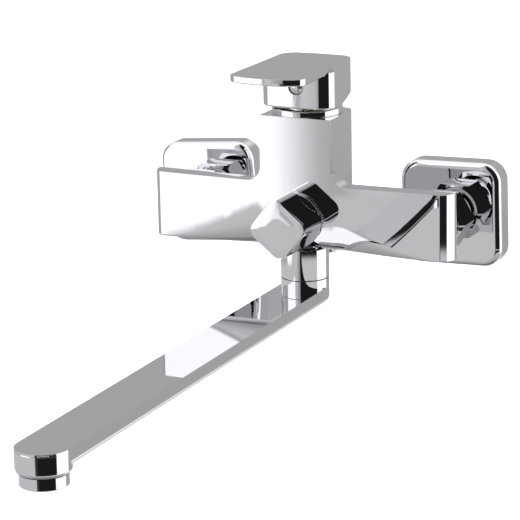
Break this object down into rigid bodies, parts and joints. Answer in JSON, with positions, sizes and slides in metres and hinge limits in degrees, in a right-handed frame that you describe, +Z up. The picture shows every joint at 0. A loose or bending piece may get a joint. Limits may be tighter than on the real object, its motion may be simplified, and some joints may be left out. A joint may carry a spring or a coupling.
{
  "type": "wall mounted bath mixer tap",
  "caption": "Wall mounted single lever bath mixer with a flat cross bar body, a front diverter knob, two wall unions with square cover plates and a long level swivel spout.",
  "frame": {"origin": "on the finished wall plane, midway between the two water inlets, which are 150 mm apart", "axes": "+X to the right seen from the room, -Y out of the wall into the room, +Z up"},
  "size_m": [0.211, 0.3743, 0.1461],
  "materials": {
    "chrome": "polished chrome plate over brass",
    "brass": "machined brass",
    "steel": "stainless steel",
    "rubber": "black sealing rubber",
    "ceramic": "lapped ceramic",
    "white_plastic": "natural plastic",
    "grey_plastic": "dark grey acetal",
    "index_mark": "glossy red and blue plastic"
  },
  "bodies": {
    "mixer_body": {"body": "chrome", "cap_ring": "chrome", "cartridge_gasket": "rubber", "cartridge_base": "white_plastic", "fixed_disc": "ceramic", "cartridge_housing": "white_plastic", "cartridge_nut": "brass", "diverter_gland": "brass", "spindle_seal": "rubber", "knob_ring": "chrome", "spout_collar": "chrome", "slip_washer": "white_plastic", "spout_gasket": "rubber", "shower_nipple": "chrome", "shower_check_valve": "grey_plastic", "inlet_seat_left": "brass", "inlet_seat_right": "brass", "inlet_nut_left": "chrome", "inlet_nut_right": "chrome", "strainer_washer_left": "rubber", "strainer_washer_right": "rubber", "eccentric_union_left": "chrome", "eccentric_union_right": "chrome", "escutcheon_left": "chrome", "escutcheon_right": "chrome"},
    "mixing_rotor": {"rotor": "grey_plastic"},
    "lever": {"handle": "chrome", "handle_screw": "steel", "index_plug": "index_mark", "stem": "brass", "stem_pin": "steel"},
    "mixing_disc": {"disc_carrier": "grey_plastic", "moving_disc": "ceramic"},
    "diverter": {"diverter_knob": "chrome", "knob_screw": "steel", "diverter_spindle": "brass", "diverter_rotor": "brass"},
    "spout": {"spout": "chrome", "aerator_housing": "chrome", "aerator_insert": "white_plastic", "aerator_washer": "rubber"}
  },
  "joints": [
    {"name": "lever_turn", "type": "hinge", "parent": "mixer_body", "child": "mixing_rotor", "pos_m": [0, -0.039, 0.06], "axis": [0, 0, 1], "range_deg": [-45, 45]},
    {"name": "lever_lift", "type": "hinge", "parent": "mixing_rotor", "child": "lever", "pos_m": [0, -0.039, 0.046], "axis": [-1, 0, 0], "range_deg": [0, 20]},
    {"name": "disc_slide", "type": "slide", "parent": "mixing_rotor", "child": "mixing_disc", "axis": [0, -1, 0], "range_m": [0, 0.0035]},
    {"name": "diverter_turn", "type": "hinge", "parent": "mixer_body", "child": "diverter", "pos_m": [0, -0.07, 0], "axis": [0, -1, 0], "range_deg": [0, 90]},
    {"name": "spout_swivel", "type": "hinge", "parent": "mixer_body", "child": "spout", "pos_m": [0, -0.0455, -0.035], "axis": [0, 0, 1], "range_deg": [-90, 90]}
  ],
  "couplings": [
    {"joint": "disc_slide", "follows": "lever_lift", "m_per_rad": 0.009}
  ]
}
